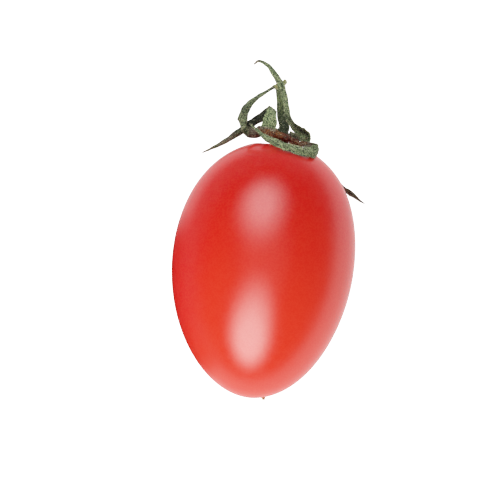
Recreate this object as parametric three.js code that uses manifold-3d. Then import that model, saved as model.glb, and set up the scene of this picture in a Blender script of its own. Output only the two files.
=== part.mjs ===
// A baby plum tomato as picked, lying on its side: the fruit, its dried calyx of five sepals
// and the snapped stalk. Millimetres, +Z up. The fruit's long axis runs along Y with the stem
// end at +Y, and the origin is the middle of the small flat spot that the fruit rests on.
import * as THREE from "three";
import { mergeVertices } from "three/addons/utils/BufferGeometryUtils.js";
import Module from "manifold-3d";

const wasm = await Module();
wasm.setup();

// ---------------------------------------------------------------- driving dimensions

// The fruit is an egg: a superellipse turned about its long axis, widest at y = 0.
const FRUIT_RADIUS = 14.85;
const STEM_HALF = 19.6; // widest section to the stem end
const BLOSSOM_HALF = 22.4; // widest section to the blossom end
const STEM_FULLNESS = 2.13; // superellipse exponents: 2 is an ellipse, more is squarer
const BLOSSOM_FULLNESS = 1.92;
const BOW = 0.38; // how far the ends lean to +X against the middle
const REST_DEPTH = 0.22; // how deep the resting spot is flattened
const DIMPLE_RADIUS = 4.6; // the hollow at the stem end
const DIMPLE_DEPTH = 1.05;

// The calyx disc sits in the dimple on a round neck and leans on it like a ball in a cup.
const SEAT_GAP = 0.3; // clearance between pieces that grow together
const CALYX_SIDE = 0.1; // the disc's offset from the fruit's axis
const CALYX_LEAN = 12.8; // degrees, towards +X
const CALYX_NOD = 12; // degrees, towards +Z
const NECK_RADIUS = 1.5;
const NECK_RISE = 0.3; // from the middle of the neck's ball to the underside of the rim
const DISC_RADIUS = 2.6;
const DISC_THICKNESS = 0.45; // at the rim
const DISC_DOME = 0.35; // the crown's height above the rim

// The stalk, broken off at its knuckle.
const STALK_RADIUS = 0.76;
const STALK_FOOT_FLARE = 0.3; // what the foot adds to the radius
const STALK_FOOT_LENGTH = 0.8; // how soon that flare dies away
const STALK_RISE = 0.4; // how far the stalk leaves the disc squarely before it bends
const KNUCKLE_FLARE = 0.34; // what the broken knuckle adds to the radius
const KNUCKLE_LENGTH = 1.1;
const KNUCKLE_SLANT = 20; // degrees that the break slopes

// The sepals are dried ribbons with a lens-shaped section.
const SEPAL_THICKNESS = 0.4;
const SEPAL_TIP_WIDTH = 0.25;
const RIM_STEP = 0.5; // how far each sepal leaves the rim squarely before it bends

// The dried stub of the flower's style, beside the blossom end.
const STUB_SIDE = 2.5;
const STUB_RADIUS = 0.3;
const STUB_LENGTH = 0.45;

const AXIS_HEIGHT = FRUIT_RADIUS - REST_DEPTH;
const UP = new THREE.Vector3(0, 1, 0);
const deg = THREE.MathUtils.degToRad;

// ---------------------------------------------------------------- the fruit's skin

// The height of the skin above the widest section, at a distance from the axis, without the
// dimple. end is +1 for the stem half and -1 for the blossom half.
function skinHeight(reach, end = 1) {
  const fullness = end > 0 ? STEM_FULLNESS : BLOSSOM_FULLNESS;
  const half = end > 0 ? STEM_HALF : BLOSSOM_HALF;
  const share = Math.min(reach / FRUIT_RADIUS, 1);
  return half * (1 - share ** fullness) ** (1 / fullness);
}

// How much the dimple takes off that height.
function dimple(reach) {
  const share = Math.min(reach / DIMPLE_RADIUS, 1);
  return DIMPLE_DEPTH * (1 - share ** 2) ** 2;
}

// The sideways lean of the fruit at a height, as part of a shallow bow.
function bow(y) {
  const half = y > 0 ? STEM_HALF : BLOSSOM_HALF;
  return BOW * ((y / half) ** 2 - 1 / 3);
}

// A place on the stem half: turn goes round the axis from +X towards +Z, slope runs from 0 at
// the stem end to 90 at the widest section, and lift is the distance out from the skin.
function onShoulder(turn, slope, lift) {
  const power = 2 / STEM_FULLNESS;
  const reach = Math.sin(deg(slope)) ** power;
  const height = Math.cos(deg(slope)) ** power;
  const out = reach ** (STEM_FULLNESS - 1) / FRUIT_RADIUS;
  const along = height ** (STEM_FULLNESS - 1) / STEM_HALF;
  const size = Math.hypot(out, along);
  const r = FRUIT_RADIUS * reach + (lift * out) / size;
  const y = STEM_HALF * height + (lift * along) / size;
  return new THREE.Vector3(r * Math.cos(deg(turn)), y, AXIS_HEIGHT + r * Math.sin(deg(turn)));
}

// ---------------------------------------------------------------- solids

function toManifold(geometry) {
  const bare = geometry.clone();
  bare.deleteAttribute("normal");
  bare.deleteAttribute("uv");
  const merged = mergeVertices(bare, 1e-5);
  const vertProperties = merged.attributes.position.array;
  const triVerts = new Uint32Array(merged.index.array);
  return new wasm.Manifold(new wasm.Mesh({ numProp: 3, vertProperties, triVerts }));
}

function fromManifold(solid) {
  const mesh = solid.getMesh();
  const geometry = new THREE.BufferGeometry();
  geometry.setAttribute("position", new THREE.BufferAttribute(mesh.vertProperties, mesh.numProp));
  geometry.setIndex(new THREE.BufferAttribute(mesh.triVerts, 1));
  geometry.computeVertexNormals();
  return geometry;
}

// Moves every vertex of a geometry to where place(vertex) says.
function reshape(geometry, place) {
  const positions = geometry.attributes.position;
  const vertex = new THREE.Vector3();
  for (let i = 0; i < positions.count; i++) {
    vertex.fromBufferAttribute(positions, i);
    const moved = place(vertex);
    positions.setXYZ(i, moved.x, moved.y, moved.z);
  }
  geometry.computeVertexNormals();
  return geometry;
}

// The unit sphere's poles lie on Y. Each vertex slides to the egg's surface at its own slope,
// and the slab under the table then takes off the resting spot.
function fruitGeometry() {
  const egg = reshape(new THREE.SphereGeometry(1, 56, 40), (v) => {
    const end = v.y >= 0 ? 1 : -1;
    const power = 2 / (end > 0 ? STEM_FULLNESS : BLOSSOM_FULLNESS);
    const ring = Math.hypot(v.x, v.z);
    const reach = FRUIT_RADIUS * ring ** power;
    const half = end > 0 ? STEM_HALF : BLOSSOM_HALF;
    const y = end * half * Math.abs(v.y) ** power - (end > 0 ? dimple(reach) : 0);
    const grow = ring > 1e-6 ? reach / ring : 0;
    return new THREE.Vector3(v.x * grow + bow(y), y, AXIS_HEIGHT + v.z * grow);
  });
  const wide = 4 * FRUIT_RADIUS;
  const long = 2 * (STEM_HALF + BLOSSOM_HALF);
  const slab = new THREE.BoxGeometry(wide, long, FRUIT_RADIUS);
  slab.translate(0, 0, -FRUIT_RADIUS / 2);
  return fromManifold(toManifold(egg).subtract(toManifold(slab)));
}

// A profile turned about Y: a ball-ended neck that opens into a low dome. Its own origin is
// the centre of the ball.
const CROWN = NECK_RISE + DISC_THICKNESS + DISC_DOME;
function discGeometry() {
  const ball = new THREE.Path();
  ball.absarc(0, 0, NECK_RADIUS, -Math.PI / 2, 0, false);
  const dome = new THREE.Path();
  const rimTop = NECK_RISE + DISC_THICKNESS;
  dome.moveTo(DISC_RADIUS, NECK_RISE);
  dome.lineTo(DISC_RADIUS, rimTop);
  dome.quadraticCurveTo(DISC_RADIUS / 2, CROWN, 0, CROWN);
  const points = [...ball.getPoints(5), ...dome.getPoints(6)];
  points[0].x = 0;
  points[points.length - 1].x = 0;
  return new THREE.LatheGeometry(points, 30);
}

// Bends a unit cylinder along a curve. section(t) gives the half-sizes across and through.
function sweep(curve, faces, section, sides, steps) {
  const tube = new THREE.CylinderGeometry(1, 1, 1, sides, steps);
  return reshape(tube, (v) => {
    const t = v.y + 0.5;
    const centre = curve.getPoint(t);
    const tangent = curve.getTangent(t);
    const across = new THREE.Vector3().crossVectors(tangent, faces.getPoint(t)).normalize();
    const face = new THREE.Vector3().crossVectors(across, tangent);
    const half = section(t);
    return centre.addScaledVector(across, v.x * half.across).addScaledVector(face, v.z * half.through);
  });
}

// ---------------------------------------------------------------- the calyx's frame

const calyx = new THREE.Group();
const cup = STEM_HALF - DIMPLE_DEPTH + SEAT_GAP + NECK_RADIUS;
calyx.position.set(CALYX_SIDE, cup, AXIS_HEIGHT);
calyx.rotation.set(deg(CALYX_NOD), 0, -deg(CALYX_LEAN));
calyx.updateMatrixWorld(true);
const crownNormal = UP.clone().transformDirection(calyx.matrixWorld);
const crown = new THREE.Vector3(0, CROWN, 0).applyMatrix4(calyx.matrixWorld);

// The middle of the rim at a turn, and the way straight out from it, in the fruit's frame.
function rimAt(turn, gap) {
  const out = new THREE.Vector3(Math.cos(deg(turn)), 0, Math.sin(deg(turn)));
  const foot = out.clone().multiplyScalar(DISC_RADIUS + gap);
  foot.y = NECK_RISE + DISC_THICKNESS / 2;
  return {
    foot: foot.applyMatrix4(calyx.matrixWorld),
    out: out.transformDirection(calyx.matrixWorld),
  };
}

// ---------------------------------------------------------------- the stalk

// From the crown of the disc: [across, up the fruit's axis, towards +Z].
const STALK_BENDS = [
  [-0.45, 2.4, -0.2],
  [-0.8, 4.45, -0.3],
  [-1.1, 6.05, -0.3],
  [-1.6, 7.8, -0.3],
];

function stalkGeometry() {
  const foot = crown.clone().addScaledVector(crownNormal, SEAT_GAP);
  const rise = foot.clone().addScaledVector(crownNormal, STALK_RISE);
  const bends = STALK_BENDS.map(([x, y, z]) => new THREE.Vector3(x, y, z).add(crown));
  const curve = new THREE.CatmullRomCurve3([foot, rise, ...bends]);
  const length = curve.getLength();
  const facing = { getPoint: () => new THREE.Vector3(0, 0, 1) };
  const slant = Math.tan(deg(KNUCKLE_SLANT));
  const stalk = sweep(
    curve,
    facing,
    (t) => {
      const footShare = Math.exp(-(t * length) / STALK_FOOT_LENGTH);
      const knuckleShare = Math.max(0, 1 - ((1 - t) * length) / KNUCKLE_LENGTH) ** 2;
      const flare = STALK_FOOT_FLARE * footShare + KNUCKLE_FLARE * knuckleShare;
      return { across: STALK_RADIUS + flare, through: STALK_RADIUS + flare };
    },
    14,
    18,
  );
  // The break slopes up towards +X over the knuckle's length.
  const end = curve.getPoint(1);
  return reshape(stalk, (v) => {
    const share = Math.max(0, 1 - (end.y - v.y) / KNUCKLE_LENGTH);
    return v.clone().setY(v.y + share * slant * (v.x - end.x));
  });
}

// ---------------------------------------------------------------- the sepals

// A bend is [across, rise, towards, face]: across (+X) and towards (+Z) count from the sepal's
// foot on the rim, and rise counts from the skin below that place. face is the way the outer
// side of the ribbon looks there. The widths stand at even steps from the foot to the tip.
const SEPALS = [
  {
    name: "hooked_sepal",
    turn: -22,
    widths: [2.2, 1.7, 1.4, 1.2, 1.05, 1.0, 0.85, 0.5, SEPAL_TIP_WIDTH],
    bends: [
      [1.25, 1.35, 0.7, [0, 1, 0.3]],
      [1.85, 1.95, 1.4, [-0.7, 0.7, 0.3]],
      [1.85, 2.5, 2.2, [-1, -0.3, 0.3]],
      [0.95, 2.6, 2.8, [0, -0.5, 0.9]],
      [-0.15, 2.55, 3.0, [0, -0.4, 0.9]],
      [-1.15, 2.9, 3.1, [-0.3, -0.2, 0.9]],
      [-1.85, 4.1, 3.2, [-0.2, 0, 1]],
      [-2.35, 5.5, 3.3, [-0.2, 0, 1]],
      [-2.95, 7.4, 3.3, [-0.2, 0, 1]],
      [-3.85, 9.4, 3.3, [0, 0, 1]],
      [-5.05, 11.1, 3.2, [0, 0, 1]],
      [-6.45, 12.7, 2.9, [0, 0, 1]],
      [-7.85, 13.6, 2.6, [0, 0, 1]],
      [-8.55, 13.3, 2.4, [0, 0, 1]],
    ],
  },
  {
    name: "wrapped_sepal",
    turn: 44,
    widths: [2.1, 1.9, 1.8, 1.5, 1.35, 1.25, 1.1, 0.8, SEPAL_TIP_WIDTH],
    bends: [
      [1.3, 0.9, 0.5, [0, 0.8, 0.6]],
      [2.7, 1.15, 0.9, [-0.2, 0.3, 0.9]],
      [3.8, 1.6, 2.0, [-1, 0, 0.2]],
      [3.2, 1.25, 3.4, [-0.6, -0.1, -0.8]],
      [1.7, 1.0, 4.2, [0, 0, -1]],
      [0, 0.95, 4.5, [0, 0, -1]],
      [-1.7, 0.95, 4.5, [0, 0, -1]],
      [-3.2, 1.25, 4.3, [0, 0, -1]],
      [-4.7, 2.05, 3.8, [0, 0, -1]],
      [-6, 2.9, 3.1, [0, 0, -1]],
      [-7.4, 4.1, 2.5, [0, 0, -1]],
    ],
  },
  {
    name: "peaked_sepal",
    turn: 136,
    widths: [2.3, 2.2, 1.8, 1.4, 1.45, 1.35, 1.0, 0.5, SEPAL_TIP_WIDTH],
    bends: [
      [-0.4, 1.3, 0.9, [0, 0.8, -0.6]],
      [-0.35, 2.5, 0.6, [0, 0.2, -1]],
      [-0.25, 3.5, 0.55, [0, 0, -1]],
      [-0.2, 4.5, 0.3, [0, 0, -1]],
      [-0.2, 5.2, -0.5, [0, -0.4, -0.9]],
      [-0.4, 5.3, -1.7, [0, -1, 0]],
      [-1.0, 4.85, -2.7, [0.2, -0.4, 0.9]],
      [-1.8, 4.2, -3.4, [0, 0, 1]],
      [-3.3, 3.45, -3.7, [0, 0, 1]],
      [-4.7, 2.95, -3.8, [0, 0, 1]],
      [-6.4, 2.6, -3.8, [0, 0, 1]],
      [-8.4, 3.1, -3.8, [0, 0.3, 1]],
      [-10.5, 5.0, -3.8, [0, 0.3, 1]],
    ],
  },
  {
    name: "curled_sepal",
    turn: 192,
    widths: [1.9, 1.5, 1.4, 1.65, 1.5, 1.1, 0.7, 0.5, SEPAL_TIP_WIDTH],
    bends: [
      [-1.1, 1.5, 0.5, [0, 0.6, -0.8]],
      [-2.0, 1.7, 0.8, [0, 0.1, -1]],
      [-3.0, 2.3, 1.1, [-0.3, -0.2, -0.9]],
      [-3.8, 3.3, 1.7, [-1, -0.5, 0]],
      [-3.9, 4.35, 2.3, [-0.3, 0, 0.9]],
      [-3.8, 5.4, 2.4, [0, 0, 1]],
      [-3.4, 6.3, 2.3, [0, 0, 1]],
      [-2.7, 7.05, 2.2, [0, 0, 1]],
      [-1.8, 7.6, 2.1, [0, 0, 1]],
      [-0.7, 8.2, 2.0, [0, 0, 1]],
      [0.3, 8.85, 2.0, [0, 0, 1]],
    ],
  },
  {
    // This one lies back over the shoulder: its bends are [turn, slope, lift] on the skin.
    name: "rear_sepal",
    turn: -94,
    widths: [2.2, 2.0, 1.8, 1.6, 1.3, 0.9, SEPAL_TIP_WIDTH],
    onSkin: [
      [-62, 21, 1.3],
      [-38, 33, 1.0],
      [-27, 43, 1.1],
      [-22, 51, 1.7],
      [-20, 56, 2.5],
      [-18, 60, 3.5],
    ],
  },
];

// Reads a list of evenly spaced values at a share from its first to its last.
function readList(values, share) {
  const place = share * (values.length - 1);
  const start = Math.min(Math.floor(place), values.length - 2);
  return THREE.MathUtils.lerp(values[start], values[start + 1], place - start);
}

function skinNormal(point) {
  return new THREE.Vector3(
    point.x / FRUIT_RADIUS ** 2,
    point.y / STEM_HALF ** 2,
    (point.z - AXIS_HEIGHT) / FRUIT_RADIUS ** 2,
  ).normalize();
}

// The ribbon's centre line and the way its outer side looks, as two curves of like points.
function sepalCurves(sepal) {
  const { foot, out } = rimAt(sepal.turn, SEAT_GAP);
  const spine = [foot, foot.clone().addScaledVector(out, RIM_STEP)];
  const faces = [crownNormal.clone(), crownNormal.clone()];
  for (const [across, rise, towards, face] of sepal.bends ?? []) {
    const x = foot.x + across;
    const z = foot.z + towards;
    const reach = Math.hypot(x, z - AXIS_HEIGHT);
    spine.push(new THREE.Vector3(x, skinHeight(reach) + rise, z));
    faces.push(new THREE.Vector3(...face).normalize());
  }
  for (const place of sepal.onSkin ?? []) {
    const point = onShoulder(...place);
    spine.push(point);
    faces.push(skinNormal(point));
  }
  return { spine: new THREE.CatmullRomCurve3(spine), faces: new THREE.CatmullRomCurve3(faces) };
}

function sepalGeometry(sepal) {
  const { spine, faces } = sepalCurves(sepal);
  const section = (t) => ({ across: readList(sepal.widths, t) / 2, through: SEPAL_THICKNESS / 2 });
  return sweep(spine, faces, section, 8, 40);
}

// ---------------------------------------------------------------- the style's stub

function stubGeometry() {
  const stub = new THREE.CylinderGeometry(STUB_RADIUS * 0.6, STUB_RADIUS, STUB_LENGTH, 10, 1);
  stub.translate(0, STUB_LENGTH / 2, 0);
  return stub;
}

// ---------------------------------------------------------------- the object

const skin = new THREE.MeshStandardMaterial({ color: 0xd8281f, roughness: 0.3, metalness: 0 });
const driedBase = new THREE.MeshStandardMaterial({ color: 0x6b3a1e, roughness: 0.8, metalness: 0 });
const stalkGreen = new THREE.MeshStandardMaterial({ color: 0x5c7440, roughness: 0.7, metalness: 0 });
const sepalGreen = new THREE.MeshStandardMaterial({ color: 0x668060, roughness: 0.75, metalness: 0 });
const cork = new THREE.MeshStandardMaterial({ color: 0x9c6b3c, roughness: 0.9, metalness: 0 });

const tomato = new THREE.Group();

function add(name, geometry, material, parent = tomato) {
  const mesh = new THREE.Mesh(geometry, material);
  mesh.name = name;
  parent.add(mesh);
  return mesh;
}

add("fruit", fruitGeometry(), skin);
tomato.add(calyx);
add("calyx_disc", discGeometry(), driedBase, calyx);
add("stalk", stalkGeometry(), stalkGreen);
for (const sepal of SEPALS) add(sepal.name, sepalGeometry(sepal), sepalGreen);

const stub = add("style_stub", stubGeometry(), cork);
const stubSkin = new THREE.Vector3(STUB_SIDE, -skinHeight(STUB_SIDE, -1), AXIS_HEIGHT);
const stubOut = new THREE.Vector3(STUB_SIDE / FRUIT_RADIUS ** 2, stubSkin.y / BLOSSOM_HALF ** 2, 0);
stubOut.normalize();
stub.quaternion.setFromUnitVectors(UP, stubOut);
stub.position.copy(stubSkin).addScaledVector(stubOut, SEAT_GAP);
stub.position.x += bow(stubSkin.y);

export default tomato;
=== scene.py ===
"""The looks of a baby plum tomato that lies on its side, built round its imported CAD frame.

Shapes are worked out in millimetres in the frame's own axes: +Y runs along the fruit to its
stem end, +Z is up, and the origin is the middle of the flat spot that the fruit rests on.
"""

import math

import bpy
import numpy as np
from bpy.props import FloatProperty, FloatVectorProperty, IntProperty, PointerProperty
from mathutils import Matrix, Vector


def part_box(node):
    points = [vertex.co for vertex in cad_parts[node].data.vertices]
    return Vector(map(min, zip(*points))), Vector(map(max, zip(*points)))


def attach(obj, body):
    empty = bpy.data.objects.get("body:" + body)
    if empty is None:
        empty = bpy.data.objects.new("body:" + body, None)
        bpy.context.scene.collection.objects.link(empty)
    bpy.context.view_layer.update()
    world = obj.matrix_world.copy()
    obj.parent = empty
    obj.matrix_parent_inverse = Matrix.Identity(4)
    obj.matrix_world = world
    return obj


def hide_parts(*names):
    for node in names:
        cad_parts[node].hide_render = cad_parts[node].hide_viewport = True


bl_info = {
    "name": "Plum Tomato",
    "version": (1, 0, 0),
    "blender": (4, 5, 0),
    "location": "3D View > Sidebar > Tomato",
    "description": "Builds a plum tomato with its dried calyx around a CAD frame",
    "category": "Add Mesh",
}

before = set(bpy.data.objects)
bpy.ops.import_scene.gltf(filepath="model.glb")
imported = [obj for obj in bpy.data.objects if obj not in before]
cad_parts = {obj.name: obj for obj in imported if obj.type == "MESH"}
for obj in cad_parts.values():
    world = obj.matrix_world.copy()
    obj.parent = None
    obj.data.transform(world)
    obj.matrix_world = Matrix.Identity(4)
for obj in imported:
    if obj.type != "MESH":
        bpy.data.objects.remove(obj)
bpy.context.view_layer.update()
FRUIT_LOW, FRUIT_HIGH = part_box("fruit")

MM = 0.001

# ------------------------------------------------------------------ sizes, in millimetres

FRUIT_RADIUS = (FRUIT_HIGH.x - FRUIT_LOW.x) / 2 / MM
AXIS_HEIGHT = FRUIT_HIGH.z / MM - FRUIT_RADIUS
DIMPLE_DROP = 0.62  # how far the dimple lowers the stem end's rim below the plain egg
STEM_HALF = FRUIT_HIGH.y / MM + DIMPLE_DROP
BLOSSOM_HALF = -FRUIT_LOW.y / MM
STEM_FULLNESS = 2.13  # the stem half's superellipse power, where 2 is a plain ellipse
BLOSSOM_FULLNESS = 1.92
BOW = 0.38  # how far both ends stand to +X of the middle
DIMPLE_RADIUS = 4.6
DIMPLE_DEPTH = 1.05

SEAT_GAP = 0.3  # what the frame leaves open between pieces that grew together
CALYX_SIDE = 0.1  # how far the calyx stands to +X of the fruit's axis
CALYX_LEAN = math.radians(12.8)  # the calyx's turn towards +X
CALYX_NOD = math.radians(12)  # and then upwards
NECK_RADIUS = 1.5
NECK_RISE = 0.3
DISC_RADIUS = 2.6
DISC_THICKNESS = 0.45
DISC_DOME = 0.35
CROWN = NECK_RISE + DISC_THICKNESS + DISC_DOME  # the dome's top over the calyx's centre
RIM_STEP = 0.5  # how far each sepal leaves the rim squarely before it bends

STALK_RADIUS = 0.76
STALK_STEP = 0.4  # how far the stalk leaves the disc squarely before it bends
STALK_BENDS = (  # from the middle of the dome's top
    (-0.45, 2.4, -0.2),
    (-0.8, 4.45, -0.3),
    (-1.1, 6.05, -0.3),
    (-1.6, 7.8, -0.3),
)
KNUCKLE_SLANT = math.radians(20)

STUB_SIDE = 2.5  # how far the style's stub stands to +X of the fruit's axis

# Each sepal springs from the disc's rim at a turn, in degrees round the calyx's own axis.
# A bend is (across, rise, towards, face), counted as in the frame: across and towards from the
# sepal's foot on the rim, rise from the skin, and face is the way its outer side looks.
# A sepal that lies on the fruit has on_skin in place of bends: the turn round the fruit's axis
# and the slope down from its stem end, in degrees, and the lift off the skin.
# base_shift moves the root, the foot and the step off the rim, and base_face is the way the
# outer side looks there; without them the sepal starts squarely from the disc.
# The lists of widths, roll (radians that each half curls round, + towards the outer side),
# the painted shade of a trough along the outer side (how dark it is painted), dry (0 green to
# 1 brown) and the painted light and shade (a factor on the colour: painted shade below 1,
# painted light above 1) stand at even steps from the foot to the tip.
SEPALS = (
    dict(
        name="hooked_sepal",
        turn=-22,
        base_shift=((0, 0.3, 1.5), (0, 0.25, 1.6), (0, 0.25, 1.5)),
        base_face=(0, 0.1, 1),
        widths=(
            *(0.95, 0.95, 0.9, 1.1, 1.5, 1.7, 1.6, 1.2, 1.0),
            *(0.95, 0.95, 1.05, 1.1, 0.88, 0.56, 0.36, 0.22),
        ),
        roll=(0.5, 0.6, 0.7, 1.0, 1.2, 1.0, 0.4, -0.4, -0.9, -1.0, -1.0, -0.9, -0.6),
        hollow=(0.6, 0.6, 0.5, 0.7, 0.97, 0.97, 0.7, 0.1, 0, 0, 0, 0, 0),
        dry=(0.5, 0.15, 0.1, 0.12, 0.12, 0.12, 0.15, 0.25, 0.6),
        painted_light_and_shade=(1.3, 1.4, 1.5, 1.7, 1.6, 1.15, 0.95, 1.0, 1.05, 0.95, 0.9, 0.95, 1.0),
        bends=(
            (1.2, 1.6, 1.7, (0, 0.1, 1)),
            (1.8, 1.75, 1.0, (-0.6, 0.1, 0.8)),
            (1.6, 2.15, 0.7, (-0.5, 0, 0.9)),
            (0.9, 2.35, 0.9, (-0.2, -0.1, 1)),
            (0.0, 2.6, 1.6, (-0.1, -0.1, 1)),
            (-0.95, 3.15, 2.6, (-0.3, -0.1, 0.9)),
            (-1.85, 4.1, 3.2, (-0.2, 0, 1)),
            (-2.35, 5.5, 3.3, (-0.2, 0, 1)),
            (-2.95, 7.4, 3.3, (-0.2, 0, 1)),
            (-3.85, 9.4, 3.3, (0, 0, 1)),
            (-5.05, 11.1, 3.2, (0, 0, 1)),
            (-6.45, 12.7, 2.9, (0, 0, 1)),
            (-7.85, 13.6, 2.6, (0, 0, 1)),
            (-8.55, 13.3, 2.4, (0, 0, 1)),
        ),
    ),
    dict(
        name="wrapped_sepal",
        turn=44,
        widths=(1.3, 1.1, 1.4, 2.0, 1.7, 1.6, 1.35, 0.6, 0.16),
        roll=(0.2, 0.4, 0.6, 0.9, 1.0, 1.0, 1.0, 0.9, 0.6),
        dry=(1.0, 1.0, 0.5, 0.12, 0.1, 0.1, 0.12, 0.2, 0.45),
        painted_light_and_shade=(0.8, 0.8, 0.8, 0.9, 1.15, 1.25, 1.2, 1.0, 0.8),
        bends=(
            (1.3, 0.75, 0.5, (0, 0.8, 0.6)),
            (2.8, 1.0, 0.9, (-0.2, 0.3, 0.9)),
            (4.0, 1.5, 2.0, (-1, 0, 0.2)),
            (3.2, 1.25, 3.4, (-0.6, -0.4, -0.7)),
            (1.7, 1.0, 4.2, (0, -0.6, -0.8)),
            (0, 0.95, 4.5, (0, -0.65, -0.75)),
            (-1.7, 0.95, 4.5, (0, -0.65, -0.75)),
            (-3.2, 1.25, 4.3, (0, -0.5, -0.85)),
            (-4.7, 1.75, 3.8, (0, -0.2, -1)),
            (-6, 2.7, 3.1, (0, 0, -1)),
            (-7.4, 3.95, 2.5, (0, 0, -1)),
        ),
    ),
    dict(
        name="peaked_sepal",
        turn=136,
        widths=(2.6, 2.6, 2.3, 1.75, 1.3, 1.45, 1.35, 0.85, 0.14),
        roll=(0.2, 0.3, 0.4, 0.3, -0.2, -0.4, -0.7, -0.8, -0.6),
        dry=(1, 1, 1, 1, -0.5, 0, 0, 0, 0, 0, 0, 0.1, 0.25, 0.38, 0.42, 0.4, 0.5),
        painted_light_and_shade=(1.0, 1.1, 1.65, 1.45, 0.45, 0.1, 0.16, 0.9, 0.8),
        bends=(
            (-0.3, 1.3, 0.9, (0, 0.6, -0.8)),
            (-0.25, 2.5, 0.6, (0, 0.1, -1)),
            (-0.15, 3.5, 0.55, (0, 0, -1)),
            (-0.1, 4.5, 0.3, (0, 0, -1)),
            (0.0, 5.25, -0.5, (-0.2, -0.36, -0.9)),
            (0.05, 5.35, -1.7, (-0.5, -0.87, 0)),
            (-0.6, 4.95, -2.7, (-0.1, -0.4, 0.9)),
            (-1.8, 4.2, -3.4, (0, 0, 1)),
            (-3.3, 3.45, -3.7, (0, 0, 1)),
            (-4.7, 2.95, -3.8, (0, 0, 1)),
            (-6.4, 2.6, -3.8, (0, 0, 1)),
            (-8.4, 3.1, -3.8, (0, 0.3, 1)),
            (-10.5, 5.0, -3.8, (0, 0.3, 1)),
        ),
    ),
    dict(
        name="curled_sepal",
        turn=192,
        widths=(2.2, 1.7, 1.6, 1.85, 1.85, 1.4, 0.95, 0.6, 0.38),
        roll=(0.2, 0.4, 0.4, -0.4, -0.6, -0.8, -0.9, -0.8, -0.5),
        dry=(0.9, 0.6, 0.58, 0.25, 0.12, 0.12, 0.15, 0.2, 0.4),
        painted_light_and_shade=(0.95, 0.95, 0.9, 0.74, 0.7, 0.58, 0.6, 0.75, 0.75),
        bends=(
            (-1.1, 1.5, 0.5, (0, 0.6, -0.8)),
            (-2.0, 1.7, 0.8, (0, 0.1, -1)),
            (-3.0, 2.3, 1.1, (-0.3, -0.2, -0.9)),
            (-3.8, 3.3, 1.7, (-1, -0.5, 0)),
            (-3.9, 4.35, 2.3, (-0.3, 0, 0.9)),
            (-3.8, 5.4, 2.4, (0, 0, 1)),
            (-3.4, 6.3, 2.3, (0, 0, 1)),
            (-2.7, 7.05, 2.2, (0, 0, 1)),
            (-1.8, 7.6, 2.1, (0, 0, 1)),
            (-0.65, 8.2, 2.0, (0, 0, 1)),
            (0.6, 8.95, 1.9, (0, 0, 1)),
        ),
    ),
    dict(
        name="rear_sepal",
        turn=-94,
        widths=(2.4, 2.1, 1.9, 1.8, 1.65, 1.15, 0.16),
        roll=(0.2, 0.4, 0.5, 0.6, 0.8, 0.8, 0.6),
        dry=(1.0, 0.4, 0.3, 0.3, 0.35, 0.38, 0.42),
        painted_light_and_shade=(0.9, 1.0, 1.0, 0.8, 0.45, 0.4, 0.4),
        on_skin=(
            (-62, 21, 1.3),
            (-40, 33, 0.9),
            (-31, 43, 0.8),
            (-24, 51, 1.4),
            (-20.5, 56, 2.4),
            (-18, 60, 3.5),
        ),
    ),
)

# ------------------------------------------------------------------ the frame's own geometry


def skin_height(reach, end=1):
    """Height of the egg's skin over its widest section, at a distance from the axis."""
    fullness = STEM_FULLNESS if end > 0 else BLOSSOM_FULLNESS
    half = STEM_HALF if end > 0 else BLOSSOM_HALF
    share = min(reach / FRUIT_RADIUS, 1)
    return half * (1 - share**fullness) ** (1 / fullness)


def on_shoulder(turn, slope, lift):
    """A place on the stem half: turn round the axis, slope down from the stem end, lift off."""
    turn, slope = math.radians(turn), math.radians(slope)
    power = 2 / STEM_FULLNESS
    reach, height = math.sin(slope) ** power, math.cos(slope) ** power
    out = reach ** (STEM_FULLNESS - 1) / FRUIT_RADIUS
    along = height ** (STEM_FULLNESS - 1) / STEM_HALF
    size = math.hypot(out, along)
    r = FRUIT_RADIUS * reach + lift * out / size
    y = STEM_HALF * height + lift * along / size
    return (r * math.cos(turn), y, AXIS_HEIGHT + r * math.sin(turn))


def skin_normal(point):
    """The way the egg's skin looks under a point, near enough for a ribbon that lies on it."""
    x, y, z = point
    wide, tall = FRUIT_RADIUS**2, STEM_HALF**2
    return unit(np.array((x / wide, y / tall, (z - AXIS_HEIGHT) / wide)))


def calyx_axes():
    """The calyx's turned axes as the columns of a matrix: its lean about Z, then its nod about X."""
    c, s = math.cos(-CALYX_LEAN), math.sin(-CALYX_LEAN)
    lean = np.array(((c, -s, 0), (s, c, 0), (0, 0, 1)))
    c, s = math.cos(CALYX_NOD), math.sin(CALYX_NOD)
    nod = np.array(((1, 0, 0), (0, c, -s), (0, s, c)))
    return nod @ lean


CALYX = calyx_axes()
CALYX_ALONG = STEM_HALF - DIMPLE_DEPTH + SEAT_GAP + NECK_RADIUS
CALYX_CENTRE = np.array((CALYX_SIDE, CALYX_ALONG, AXIS_HEIGHT))
CROWN_NORMAL = CALYX[:, 1]
CROWN_POINT = CALYX_CENTRE + CALYX @ np.array((0, CROWN, 0))


def from_calyx(points):
    """Points in the calyx's own axes, carried into the frame."""
    return CALYX_CENTRE + np.asarray(points, float) @ CALYX.T


# ------------------------------------------------------------------ curves and surfaces

STEPS_PER_POINT = 60  # the steps in which a curve's length is measured
ROUNDING = (-0.04, -0.02, 0, 0.02, 0.04)  # the shares over which a list's readings are averaged


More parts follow.
